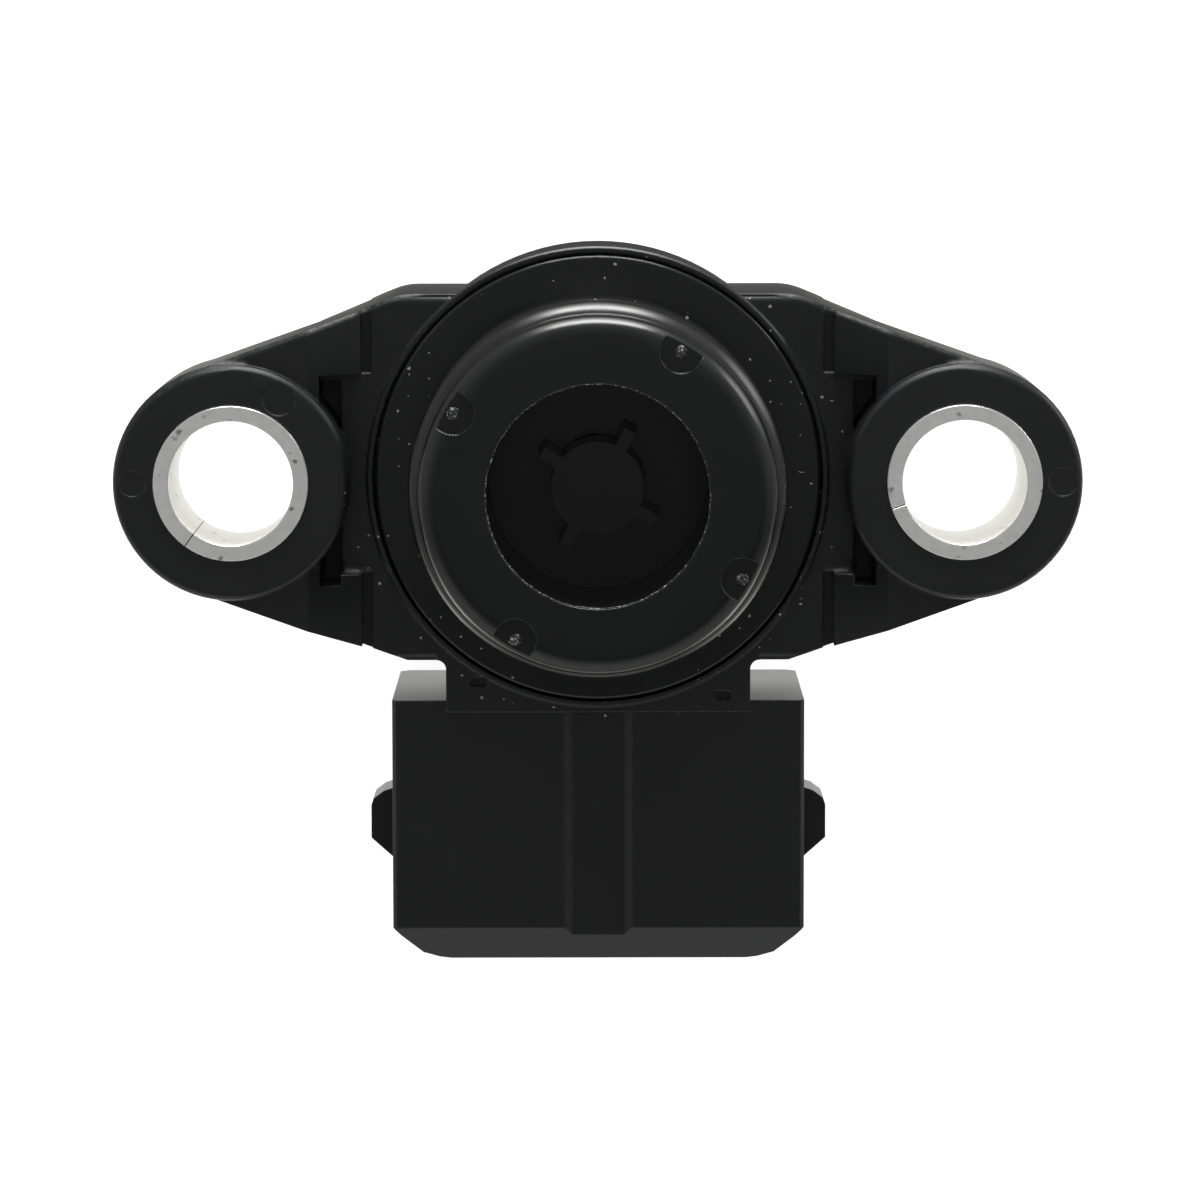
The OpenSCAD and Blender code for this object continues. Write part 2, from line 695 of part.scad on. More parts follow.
// The soft gel that passes the pressure on and keeps moisture off
module protective_gel() color("#cfd8dc") difference() {
    translate([0, 0, board_top_z]) cylinder(r = gel_r - fit_gap, h = gel_top_z - board_top_z);
    translate([-chip_w / 2, -chip_w / 2, board_top_z - over])
        cube([chip_w, chip_w, chip_top_z - board_top_z + over]);
    all_wires(fit_gap);
}

// The chip that turns the bridge signal into the output voltage
module signal_chip() color("#26272a")
    translate([-package_size.x / 2, package_y, board_top_z]) cube(package_size);

// A ceramic capacitor, standing on the board
module capacitor(angle) color("#b79a6a") rotate(angle)
    translate([capacitor_ring_r, -capacitor_size.y / 2, board_top_z]) cube(capacitor_size);

module capacitor_supply() capacitor(capacitor_angles[0]);

module capacitor_output() capacitor(capacitor_angles[1]);

module capacitor_reference() capacitor(capacitor_angles[2]);

// Solder round each terminal post on the board
module solder_joints() color(tin_grey) for (place = [-1 : 1])
    translate([place * terminal_pitch, post_y, board_top_z]) difference() {
        cylinder(r1 = solder_foot_r, r2 = solder_top_r, h = solder_h);
        translate([0, 0, -over]) linear_extrude(3 * over)
            square([post_w + 2 * fit_gap, blade_t + 2 * fit_gap], center = true);
    }

// The seal between the port's skirt and the board
module cell_seal() color("#8c3b2e") translate([0, 0, board_top_z])
    ring(cell_skirt_r + cell_seal_w, cell_skirt_r, cell_seal_t);

// The bead that bonds the flange to the housing
module flange_adhesive() color("#3a3733") translate([0, 0, ledge_z - adhesive_groove_depth])
    ring(adhesive_r + adhesive_groove_w / 2 - fit_gap,
         adhesive_r - adhesive_groove_w / 2 + fit_gap, adhesive_groove_depth + bond_line);

housing();
port_fitting();
port_o_ring();
limiter_left();
limiter_right();
terminal_at(-1);  // terminal_left
terminal_at(0);  // terminal_middle
terminal_at(1);  // terminal_right
terminal_resin();
circuit_board();
cell_base();
pressure_chip();
gel_ring();
protective_gel();
bond_wires();
signal_chip();
capacitor_supply();
capacitor_output();
capacitor_reference();
solder_joints();
cell_seal();
flange_adhesive();
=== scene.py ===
# A manifold absolute pressure sensor, lying on its back and seen from its port side.
import math

import bmesh
import bpy
from mathutils import Matrix, Vector


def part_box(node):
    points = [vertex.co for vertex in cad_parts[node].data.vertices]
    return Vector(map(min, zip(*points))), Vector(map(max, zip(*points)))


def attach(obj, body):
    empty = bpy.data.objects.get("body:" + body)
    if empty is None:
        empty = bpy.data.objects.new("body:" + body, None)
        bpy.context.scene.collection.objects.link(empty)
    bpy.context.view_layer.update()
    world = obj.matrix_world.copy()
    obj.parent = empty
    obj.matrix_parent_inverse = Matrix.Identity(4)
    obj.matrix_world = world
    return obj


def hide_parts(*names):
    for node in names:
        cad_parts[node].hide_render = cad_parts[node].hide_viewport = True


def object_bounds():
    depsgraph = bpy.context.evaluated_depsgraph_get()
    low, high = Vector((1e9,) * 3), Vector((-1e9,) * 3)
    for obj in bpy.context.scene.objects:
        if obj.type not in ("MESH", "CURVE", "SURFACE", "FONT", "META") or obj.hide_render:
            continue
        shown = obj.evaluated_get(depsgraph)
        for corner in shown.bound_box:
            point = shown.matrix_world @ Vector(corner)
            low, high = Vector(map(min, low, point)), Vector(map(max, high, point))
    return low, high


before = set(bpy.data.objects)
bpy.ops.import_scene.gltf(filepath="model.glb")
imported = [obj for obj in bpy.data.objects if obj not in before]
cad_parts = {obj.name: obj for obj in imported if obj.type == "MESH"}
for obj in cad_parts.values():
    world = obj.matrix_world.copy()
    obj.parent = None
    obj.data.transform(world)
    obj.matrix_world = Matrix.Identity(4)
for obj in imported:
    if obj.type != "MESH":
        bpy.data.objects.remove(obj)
cad_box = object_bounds()

MM = 0.001


# Housing: ears, cup, body, neck and connector shell in one injection moulding of black
# glass-filled polyester. The limiters and the terminals are moulded into it.
def hex_linear(code, alpha=1.0):
    """An sRGB hex colour as linear red, green, blue and alpha."""
    parts = [int(code[i:i + 2], 16) / 255 for i in (1, 3, 5)]
    return [c / 12.92 if c <= 0.04045 else ((c + 0.055) / 1.055) ** 2.4 for c in parts] + [alpha]


def add(tree, kind, links=None, **settings):
    """A node in a tree, with its settings, its values and its links."""
    made = tree.nodes.new(kind)
    for name, value in settings.items():
        setattr(made, name, value)
    for socket, value in (links or {}).items():
        if isinstance(value, bpy.types.NodeSocket):
            tree.links.new(value, made.inputs[socket])
        else:
            made.inputs[socket].default_value = value
    return made


def new_material(name):
    """A material with a bare shader, its tree and its Object coordinates."""
    material = bpy.data.materials.new(name)
    material.use_nodes = True
    tree = material.node_tree
    shader = tree.nodes["Principled BSDF"]
    place = add(tree, "ShaderNodeTexCoord").outputs["Object"]
    return material, tree, shader, place


def smooth_copy(node, name, material, sharp=18):
    """A copy of a CAD node with its loose triangles joined, smooth but for its sharp edges."""
    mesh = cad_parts[node].data.copy()
    mesh.materials.clear()
    mesh.materials.append(material)
    shape = bmesh.new()
    shape.from_mesh(mesh)
    bmesh.ops.remove_doubles(shape, verts=shape.verts, dist=0.001 * MM)
    for face in shape.faces:
        face.material_index = 0
        face.smooth = True
    for edge in shape.edges:
        edge.smooth = edge.calc_face_angle(0) < math.radians(sharp)
    shape.to_mesh(mesh)
    shape.free()
    if mesh.has_custom_normals:
        mesh.attributes.remove(mesh.attributes["custom_normal"])
    piece = bpy.data.objects.new(name, mesh)
    bpy.context.scene.collection.objects.link(piece)
    flat_faces = piece.modifiers.new("flat_faces_stay_flat", "WEIGHTED_NORMAL")
    flat_faces.keep_sharp = True
    flat_faces.weight = 80
    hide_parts(node)
    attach(piece, "root")
    return piece


# Moulded glass-filled polyester: near-black and satin, mottled where the fibres come
# close to the skin. Pale dust lies on what faces up, and the edges are a little rounded and
# turn grey in patches, most of all along the webs' slanted sides: partly rubbed wear, partly
# a painted highlight that stands in for the light the rounded edges catch.
def moulded_plastic(name, dark, light, rough, dust_share, dusty, edge, rough_edge):
    material, tree, shader, place = new_material(name)
    flow = add(tree, "ShaderNodeTexNoise", {"Vector": place, "Scale": 1 / (6 * MM), "Detail": 3.0})
    tone = add(tree, "ShaderNodeMix", {"Factor": flow.outputs["Fac"], "A": hex_linear(dark),
                                       "B": hex_linear(light)}, data_type="RGBA")
    grain = add(tree, "ShaderNodeTexNoise", {"Vector": place, "Scale": 1 / (0.3 * MM), "Detail": 3.0})
    gloss = add(tree, "ShaderNodeMapRange", {"Value": flow.outputs["Fac"], "To Min": rough - 0.03,
                                             "To Max": rough + 0.03})
    faces = add(tree, "ShaderNodeNewGeometry")
    facing = add(tree, "ShaderNodeSeparateXYZ", {"Vector": faces.outputs["Normal"]})
    level = add(tree, "ShaderNodeMath", {0: facing.outputs["Z"], 1: 0.8}, operation="GREATER_THAN")
    warp = add(tree, "ShaderNodeTexNoise", {"Vector": place, "Scale": 1 / (0.3 * MM), "Detail": 2.0})
    bent = add(tree, "ShaderNodeVectorMath", {0: warp.outputs["Color"], "Scale": 0.25 * MM},
               operation="SCALE")
    bent = add(tree, "ShaderNodeVectorMath", {0: place, 1: bent.outputs[0]}, operation="ADD")
    settled = None
    for across, along, size, share in ((1.0, 1.0, 0.15, dust_share), (1.0, 0.35, 0.08, dust_share / 2),
                                       (0.1, 1.0, 0.04, dust_share / 6)):
        flat = add(tree, "ShaderNodeVectorMath", {0: bent.outputs[0], 1: (across, along, 0.0)},
                   operation="MULTIPLY")
        cells = add(tree, "ShaderNodeTexVoronoi", {"Vector": flat.outputs[0], "Scale": 1 / (0.55 * MM)},
                    voronoi_dimensions="2D")
        pick = add(tree, "ShaderNodeSeparateColor", {"Color": cells.outputs["Color"]})
        chosen = add(tree, "ShaderNodeMath", {0: pick.outputs["Red"], 1: 1 - share},
                     operation="GREATER_THAN")
        reach = add(tree, "ShaderNodeMath", {0: pick.outputs["Green"], 1: size}, operation="MULTIPLY")
        inside = add(tree, "ShaderNodeMath", {0: cells.outputs["Distance"], 1: reach.outputs[0]},
                     operation="LESS_THAN")
        speck = add(tree, "ShaderNodeMath", {0: chosen.outputs[0], 1: inside.outputs[0]},
                    operation="MULTIPLY")
        settled = speck if settled is None else add(
            tree, "ShaderNodeMath", {0: settled.outputs[0], 1: speck.outputs[0]}, operation="MAXIMUM")
    flat = add(tree, "ShaderNodeVectorMath", {0: place, 1: (1.0, 1.0, 0.0)}, operation="MULTIPLY")
    out = add(tree, "ShaderNodeVectorMath", {0: flat.outputs[0]}, operation="LENGTH")
    inner, outer = dusty
    open_top = add(tree, "ShaderNodeMath", {0: out.outputs["Value"], 1: (inner + outer) / 2 * MM,
                                            2: (outer - inner) / 2 * MM}, operation="COMPARE")
    level = add(tree, "ShaderNodeMath", {0: level.outputs[0], 1: open_top.outputs[0]},
                operation="MULTIPLY")
    settled = add(tree, "ShaderNodeMath", {0: settled.outputs[0], 1: level.outputs[0]},
                  operation="MULTIPLY")
    spot = add(tree, "ShaderNodeSeparateXYZ", {"Vector": place})
    aside = add(tree, "ShaderNodeMath", {0: spot.outputs["X"]}, operation="ABSOLUTE")
    slant = add(tree, "ShaderNodeMath", {0: aside.outputs[0], 1: 0.385, 2: spot.outputs["Y"]},
                operation="MULTIPLY_ADD")
    radius = add(tree, "ShaderNodeMapRange", {"Value": slant.outputs[0], "From Min": 13.3 * MM,
                                              "From Max": 13.6 * MM, "To Min": edge * MM,
                                              "To Max": rough_edge * MM})
    ledge = add(tree, "ShaderNodeMath", {0: spot.outputs["Y"], 1: -4.75 * MM, 2: 0.35 * MM},
                operation="COMPARE")
    inboard = add(tree, "ShaderNodeMath", {0: aside.outputs[0], 1: 15 * MM}, operation="LESS_THAN")
    ledge = add(tree, "ShaderNodeMath", {0: ledge.outputs[0], 1: inboard.outputs[0]}, operation="MULTIPLY")
    radius = add(tree, "ShaderNodeMath", {0: ledge.outputs[0], 1: (rough_edge - edge) * MM,
                                          2: radius.outputs["Result"]}, operation="MULTIPLY_ADD")
    rounded = add(tree, "ShaderNodeBevel", {"Radius": radius.outputs[0]}, samples=4)
    turned = add(tree, "ShaderNodeVectorMath", {0: rounded.outputs["Normal"], 1: faces.outputs["Normal"]},
                 operation="DOT_PRODUCT")
    edges = add(tree, "ShaderNodeMapRange", {"Value": turned.outputs["Value"], "From Min": 0.95,
                                             "From Max": 0.85})
    patchy = add(tree, "ShaderNodeMapRange", {"Value": warp.outputs["Fac"], "From Min": 0.45, "From Max": 0.6,
                                              "To Max": 0.8})
    # Grey mixed in along the edges in patches: partly rubbed wear, partly a painted edge highlight.
    rubbed_and_painted_highlight = add(tree, "ShaderNodeMath", {0: edges.outputs["Result"], 1: patchy.outputs["Result"]},
                 operation="MULTIPLY")
    tone = add(tree, "ShaderNodeMix", {"Factor": rubbed_and_painted_highlight.outputs[0], "A": tone.outputs["Result"],
                                       "B": hex_linear("#56575a")}, data_type="RGBA")
    colour = add(tree, "ShaderNodeMix", {"Factor": settled.outputs[0], "A": tone.outputs["Result"],
                                         "B": hex_linear("#a2a19c")}, data_type="RGBA")
    relief = add(tree, "ShaderNodeBump", {"Height": grain.outputs["Fac"], "Strength": 0.08,
                                          "Distance": 0.02 * MM, "Normal": rounded.outputs["Normal"]})
    tree.links.new(colour.outputs["Result"], shader.inputs["Base Color"])
    tree.links.new(gloss.outputs["Result"], shader.inputs["Roughness"])
    tree.links.new(relief.outputs["Normal"], shader.inputs["Normal"])
    shader.inputs["IOR"].default_value = 1.5
    return material


housing_plastic = moulded_plastic("moulded_glass_filled_polyester", "#101113", "#17181a", 0.38, 0.1,
                                  dusty=(0, 13.5), edge=0.12, rough_edge=0.5)
smooth_copy("housing", "housing_shell", housing_plastic)


# Port fitting: flange, nozzle, O-ring groove and splash turret in a second moulding of the
# same polyester from a smoother tool. It is pushed into the cup and bonded.
port_plastic = moulded_plastic("polished_tool_polyester", "#101112", "#161718", 0.22, 0.1,
                               dusty=(9.3, 20), edge=0.09, rough_edge=0.09)
smooth_copy("port_fitting", "port_nozzle", port_plastic)

# Torn gates: the plastic broke off rough at four gates, each in its own pocket of the lip,
# and the break shows pale glass fibres.
torn_plastic, tree, shader, place = new_material("torn_glass_filled_polyester")
fibres = add(tree, "ShaderNodeTexNoise", {"Vector": place, "Scale": 1 / (0.12 * MM), "Detail": 3.0})
broken = add(tree, "ShaderNodeMapRange", {"Value": fibres.outputs["Fac"], "From Min": 0.54, "From Max": 0.7})
tone = add(tree, "ShaderNodeMix", {"Factor": broken.outputs["Result"], "A": hex_linear("#26272a"),
                                   "B": hex_linear("#c9c8c3")}, data_type="RGBA")
tree.links.new(tone.outputs["Result"], shader.inputs["Base Color"])
shader.inputs["Roughness"].default_value = 0.4
low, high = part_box("port_fitting")
gates = bpy.data.node_groups.new("torn_gates", "GeometryNodeTree")
gates.is_modifier = True
for label, kind, start in (("Ring radius", "NodeSocketFloat", 8.55 * MM), ("Top", "NodeSocketFloat", 0.0),
                           ("Stub radius", "NodeSocketFloat", 0.26 * MM), ("First angle", "NodeSocketFloat", 0.0),
                           ("Count", "NodeSocketInt", 4), ("Seed", "NodeSocketInt", 7),
                           ("Plastic", "NodeSocketMaterial", None)):
    socket = gates.interface.new_socket(label, in_out="INPUT", socket_type=kind)
    if start is not None:
        socket.default_value = start
gates.interface.new_socket("Geometry", in_out="OUTPUT", socket_type="NodeSocketGeometry")
given = add(gates, "NodeGroupInput").outputs
ring = add(gates, "GeometryNodeMeshCircle", {"Vertices": given["Count"], "Radius": given["Ring radius"]})
lift = add(gates, "ShaderNodeCombineXYZ", {"Z": given["Top"]})
turn = add(gates, "ShaderNodeCombineXYZ", {"Z": given["First angle"]})
placed = add(gates, "GeometryNodeTransform", {"Geometry": ring.outputs["Mesh"],
                                              "Translation": lift.outputs[0], "Rotation": turn.outputs[0]})
stub = add(gates, "GeometryNodeMeshIcoSphere", {"Radius": given["Stub radius"], "Subdivisions": 4})
spin = add(gates, "FunctionNodeRandomValue", {"Seed": given["Seed"], "Max": (0.0, 0.0, math.tau)},
           data_type="FLOAT_VECTOR")
spread = add(gates, "GeometryNodeInstanceOnPoints", {
    "Points": placed.outputs[0], "Instance": stub.outputs["Mesh"], "Rotation": spin.outputs[0],
    "Scale": (1.0, 0.85, 0.5)})
real = add(gates, "GeometryNodeRealizeInstances", {"Geometry": spread.outputs[0]})
where = add(gates, "GeometryNodeInputPosition")
torn = add(gates, "ShaderNodeTexNoise", {"Vector": where.outputs[0], "Scale": 1 / (0.22 * MM), "Detail": 3.0})
push = add(gates, "ShaderNodeVectorMath", {0: torn.outputs["Color"], 1: (0.5, 0.5, 0.5)},
           operation="SUBTRACT")
push = add(gates, "ShaderNodeVectorMath", {0: push.outputs[0], "Scale": 0.22 * MM}, operation="SCALE")
rough = add(gates, "GeometryNodeSetPosition", {"Geometry": real.outputs[0], "Offset": push.outputs[0]})
painted = add(gates, "GeometryNodeSetMaterial", {"Geometry": rough.outputs[0], "Material": given["Plastic"]})
add(gates, "NodeGroupOutput", {"Geometry": painted.outputs[0]})


def grown(name, tree, **inputs):
    """The plain mesh that a node tree makes from the given inputs, on the part's body."""
    holder = bpy.data.objects.new(name, bpy.data.meshes.new(name))
    bpy.context.scene.collection.objects.link(holder)
    modifier = holder.modifiers.new(name, "NODES")
    modifier.node_group = tree
    for item in tree.interface.items_tree:
        key = item.name.lower().replace(" ", "_")
        if item.in_out == "INPUT" and key in inputs:
            modifier[item.identifier] = inputs[key]
    seen = holder.evaluated_get(bpy.context.evaluated_depsgraph_get())
    mesh = bpy.data.meshes.new_from_object(seen)
    holder.modifiers.clear()
    holder.data = mesh
    mesh.name = name
    mesh.shade_smooth()
    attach(holder, "root")
    return holder


grown("gate_stubs", gates, ring_radius=8.55 * MM, top=high.z - 0.215 * MM, stub_radius=0.34 * MM,
      first_angle=math.radians(60), count=4, seed=7, plastic=torn_plastic)


# Burr: a hair of flash left standing round the bore's mouth, where the core pin shut off,
# torn and pale like the gates.
sweep = bpy.data.node_groups.new("ring_sweep", "GeometryNodeTree")
sweep.is_modifier = True
for label, kind in (("Ring radius", "NodeSocketFloat"), ("Section radius", "NodeSocketFloat"),
                    ("Section points", "NodeSocketInt"), ("Flash", "NodeSocketFloat"),
                    ("Height", "NodeSocketFloat"), ("Raggedness", "NodeSocketFloat"),
                    ("Finish", "NodeSocketMaterial")):
    sweep.interface.new_socket(label, in_out="INPUT", socket_type=kind)
sweep.interface.new_socket("Geometry", in_out="OUTPUT", socket_type="NodeSocketGeometry")
given = add(sweep, "NodeGroupInput").outputs
path = add(sweep, "GeometryNodeCurvePrimitiveCircle", {"Radius": given["Ring radius"], "Resolution": 180})
section = add(sweep, "GeometryNodeCurvePrimitiveCircle", {"Radius": given["Section radius"],
                                                          "Resolution": given["Section points"]})
index = add(sweep, "GeometryNodeInputIndex")
half = add(sweep, "FunctionNodeIntegerMath", {0: given["Section points"], 1: 2}, operation="DIVIDE")
outer = add(sweep, "FunctionNodeCompare", {2: index.outputs[0], 3: half.outputs[0]},
            data_type="INT", operation="EQUAL")
ridge = add(sweep, "ShaderNodeCombineXYZ", {"X": given["Flash"]})
ridge = add(sweep, "ShaderNodeVectorMath", {0: ridge.outputs[0], "Scale": -1.0}, operation="SCALE")
flashed = add(sweep, "GeometryNodeSetPosition", {"Geometry": section.outputs["Curve"],
                                                 "Selection": outer.outputs[0], "Offset": ridge.outputs[0]})
swept = add(sweep, "GeometryNodeCurveToMesh", {"Curve": path.outputs["Curve"],
                                               "Profile Curve": flashed.outputs[0]})
where = add(sweep, "GeometryNodeInputPosition")
tatter = add(sweep, "ShaderNodeTexNoise", {"Vector": where.outputs[0], "Scale": 1 / (0.5 * MM), "Detail": 3.0})
push = add(sweep, "ShaderNodeVectorMath", {0: tatter.outputs["Color"], 1: (0.5, 0.5, 0.5)},
           operation="SUBTRACT")
push = add(sweep, "ShaderNodeVectorMath", {0: push.outputs[0], "Scale": given["Raggedness"]},
           operation="SCALE")
ragged = add(sweep, "GeometryNodeSetPosition", {"Geometry": swept.outputs[0], "Offset": push.outputs[0]})
lift = add(sweep, "ShaderNodeCombineXYZ", {"Z": given["Height"]})
placed = add(sweep, "GeometryNodeTransform", {"Geometry": ragged.outputs[0], "Translation": lift.outputs[0]})
real = add(sweep, "GeometryNodeRealizeInstances", {"Geometry": placed.outputs[0]})
painted = add(sweep, "GeometryNodeSetMaterial", {"Geometry": real.outputs[0], "Material": given["Finish"]})
add(sweep, "NodeGroupOutput", {"Geometry": painted.outputs[0]})
grown("bore_burr", sweep, ring_radius=5.79 * MM, section_radius=0.05 * MM, section_points=8,
      flash=0.0, height=high.z - 0.12 * MM, raggedness=0.14 * MM, finish=torn_plastic)


# O-ring: black nitrile rubber, pressed in a two-part mould that leaves a thin flash line
# round its outside. It sits stretched in the port's groove.
nitrile, tree, shader, place = new_material("pressed_nitrile_rubber")
bloom = add(tree, "ShaderNodeTexNoise", {"Vector": place, "Scale": 1 / (1.5 * MM), "Detail": 4.0})
tone = add(tree, "ShaderNodeMix", {"Factor": bloom.outputs["Fac"], "A": hex_linear("#0c0c0e"),
                                   "B": hex_linear("#17171a")}, data_type="RGBA")
gloss = add(tree, "ShaderNodeMapRange", {"Value": bloom.outputs["Fac"], "To Min": 0.18, "To Max": 0.34})
tree.links.new(tone.outputs["Result"], shader.inputs["Base Color"])
tree.links.new(gloss.outputs["Result"], shader.inputs["Roughness"])
shader.inputs["IOR"].default_value = 1.52

low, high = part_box("port_o_ring")
flash = 0.015 * MM
section_r = (high.z - low.z) / 2 - flash
ring_r = high.x - section_r - flash
o_ring = grown("o_ring_with_flash", sweep, ring_radius=ring_r, section_radius=section_r,
               section_points=48, flash=flash, height=(high.z + low.z) / 2, raggedness=0.0,
               finish=nitrile)
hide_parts("port_o_ring")


# Limiters: strip steel rolled into a tube, zinc plated, and moulded into the ears so that the
# bolts bear on steel. The end faces' edges are worn bright. A thin black fin of the housing's
# plastic fills the open seam: painted shade, standing in for the shade in the tight seam.
zinc, tree, shader, place = new_material("zinc_plated_rolled_steel")
spangle = add(tree, "ShaderNodeTexNoise", {"Vector": place, "Scale": 1 / (0.5 * MM), "Detail": 5.0})
chips = add(tree, "ShaderNodeTexNoise", {"Vector": place, "Scale": 1 / (0.75 * MM), "Detail": 1.0})
chipped = add(tree, "ShaderNodeMapRange", {"Value": chips.outputs["Fac"], "From Min": 0.69, "From Max": 0.8})
plated = add(tree, "ShaderNodeMix", {"Factor": spangle.outputs["Fac"], "A": hex_linear("#e8e8e6"),
                                     "B": hex_linear("#f6f6f2")}, data_type="RGBA")
tone = add(tree, "ShaderNodeMix", {"Factor": chipped.outputs["Result"], "A": plated.outputs["Result"],
                                   "B": hex_linear("#7d7d79")}, data_type="RGBA")
gloss = add(tree, "ShaderNodeMapRange", {"Value": spangle.outputs["Fac"], "To Min": 0.46, "To Max": 0.58})
rounded = add(tree, "ShaderNodeBevel", {"Radius": 0.1 * MM}, samples=4)
true = add(tree, "ShaderNodeNewGeometry")
facing = add(tree, "ShaderNodeSeparateXYZ", {"Vector": true.outputs["Normal"]})
ends = add(tree, "ShaderNodeMath", {0: facing.outputs["Z"], 1: 0.5}, operation="GREATER_THAN")
rounded = add(tree, "ShaderNodeMix", {"Factor": ends.outputs[0], 4: true.outputs["Normal"],
                                      5: rounded.outputs["Normal"]}, data_type="VECTOR")
relief = add(tree, "ShaderNodeBump", {"Height": spangle.outputs["Fac"], "Strength": 0.15,
                                      "Distance": 0.02 * MM, "Normal": rounded.outputs[1]})
turned = add(tree, "ShaderNodeVectorMath", {0: rounded.outputs[1], 1: true.outputs["Normal"]},
             operation="DOT_PRODUCT")
worn = add(tree, "ShaderNodeMapRange", {"Value": turned.outputs["Value"], "From Min": 0.98,
                                        "From Max": 0.85})
gloss = add(tree, "ShaderNodeMix", {"Factor": worn.outputs["Result"], "A": gloss.outputs["Result"],
                                    "B": 0.28}, data_type="FLOAT")
tree.links.new(tone.outputs["Result"], shader.inputs["Base Color"])
tree.links.new(gloss.outputs["Result"], shader.inputs["Roughness"])
tree.links.new(relief.outputs["Normal"], shader.inputs["Normal"])
shader.inputs["Metallic"].default_value = 1.0
for side, seam_angle in (("left", 233.5), ("right", 200)):
    smooth_copy("limiter_" + side, "rolled_limiter_" + side, zinc)
    low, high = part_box("limiter_" + side)
    wall = 0.8 * MM
    # Painted shade: a thin black box in the housing's plastic fills the seam, where the tight seam is only in
    # shade.
    shape = bmesh.new()
    bmesh.ops.create_cube(shape, size=1.0, matrix=(
        Matrix.Translation((low + high) / 2) @ Matrix.Rotation(math.radians(seam_angle), 4, "Z")
        @ Matrix.Translation(((high.x - low.x - wall) / 2, 0, 0))
        @ Matrix.Diagonal((wall - 0.03 * MM, 0.058 * MM, high.z - low.z - 0.05 * MM, 1))))
    mesh = bpy.data.meshes.new("seam_fin_" + side)
    shape.to_mesh(mesh)
    shape.free()
    mesh.materials.append(housing_plastic)
    shade_fin = bpy.data.objects.new("seam_fin_" + side, mesh)
    bpy.context.scene.collection.objects.link(shade_fin)
    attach(shade_fin, "root")


# Terminals: blades stamped from brass strip, tin plated, moulded into the connector with
# their inner ends bent up through the board.
tin, tree, shader, place = new_material("tin_plated_brass")
matt = add(tree, "ShaderNodeTexNoise", {"Vector": place, "Scale": 1 / (0.3 * MM), "Detail": 3.0})
gloss = add(tree, "ShaderNodeMapRange", {"Value": matt.outputs["Fac"], "To Min": 0.28, "To Max": 0.4})
tone = add(tree, "ShaderNodeMix", {"Factor": matt.outputs["Fac"], "A": hex_linear("#b9bcbe"),
                                   "B": hex_linear("#cfd1d2")}, data_type="RGBA")
tree.links.new(tone.outputs["Result"], shader.inputs["Base Color"])
tree.links.new(gloss.outputs["Result"], shader.inputs["Roughness"])
shader.inputs["Metallic"].default_value = 1.0
for position in ("left", "middle", "right"):
    smooth_copy("terminal_" + position, "blade_" + position, tin)


# Terminal resin: an epoxy bead poured over the blades' roots, so that no gas leaks along
# them. Cast and cured, it is amber, glossy and slightly cloudy.
def two_toned(name, dark, light, patch, rough, metallic=0.0, ior=1.5):
    """A finish in patches of two tones, patch mm across, whose gloss follows them."""
    material, tree, shader, place = new_material(name)
    patches = add(tree, "ShaderNodeTexNoise", {"Vector": place, "Scale": 1 / (patch * MM), "Detail": 3.0})
    tone = add(tree, "ShaderNodeMix", {"Factor": patches.outputs["Fac"], "A": hex_linear(dark),
                                       "B": hex_linear(light)}, data_type="RGBA")
    gloss = add(tree, "ShaderNodeMapRange", {"Value": patches.outputs["Fac"],
                                             "To Min": rough, "To Max": rough + 0.12})
    tree.links.new(tone.outputs["Result"], shader.inputs["Base Color"])
    tree.links.new(gloss.outputs["Result"], shader.inputs["Roughness"])
    shader.inputs["Metallic"].default_value = metallic
    shader.inputs["IOR"].default_value = ior
    return material, tree, shader


def dress(material, *nodes):
    """Gives CAD nodes that keep their shape a material."""
    for node in nodes:
        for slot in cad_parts[node].material_slots:
            slot.material = material


resin, tree, shader = two_toned("cast_amber_epoxy", "#4a2f16", "#6b4720", 1.2, 0.12, ior=1.55)
shader.inputs["Transmission Weight"].default_value = 0.2
dress(resin, "terminal_resin")


# Circuit board: glass cloth and epoxy with a green lacquer. The weave shows through as a
# fine checker of lighter crossings.
board, tree, shader, place = new_material("lacquered_glass_epoxy")
weave = add(tree, "ShaderNodeTexWave", {"Vector": place, "Scale": 1 / (0.45 * MM) / 10},
            bands_direction="X")
cross = add(tree, "ShaderNodeTexWave", {"Vector": place, "Scale": 1 / (0.45 * MM) / 10},
            bands_direction="Y")
cloth = add(tree, "ShaderNodeMath", {0: weave.outputs["Fac"], 1: cross.outputs["Fac"]},
            operation="MULTIPLY")
tone = add(tree, "ShaderNodeMix", {"Factor": cloth.outputs[0], "A": hex_linear("#1d5a34"),
                                   "B": hex_linear("#2a6e42")}, data_type="RGBA")
gloss = add(tree, "ShaderNodeMapRange", {"Value": cloth.outputs[0], "To Min": 0.3, "To Max": 0.22})
tree.links.new(tone.outputs["Result"], shader.inputs["Base Color"])
tree.links.new(gloss.outputs["Result"], shader.inputs["Roughness"])
dress(board, "circuit_board")


# Cell base and pressure chip: a borosilicate glass block with a silicon die bonded on it.
# The glass is sawn and slightly green, the die is etched, grey and mirror smooth.
glass, tree, shader = two_toned("sawn_borosilicate_glass", "#b9cbc4", "#d3e0da", 0.6, 0.14, ior=1.47)
shader.inputs["Transmission Weight"].default_value = 0.6
dress(glass, "cell_base")
silicon, tree, shader = two_toned("etched_silicon", "#4c4f57", "#63666e", 0.9, 0.08, metallic=0.8)
dress(silicon, "pressure_chip")


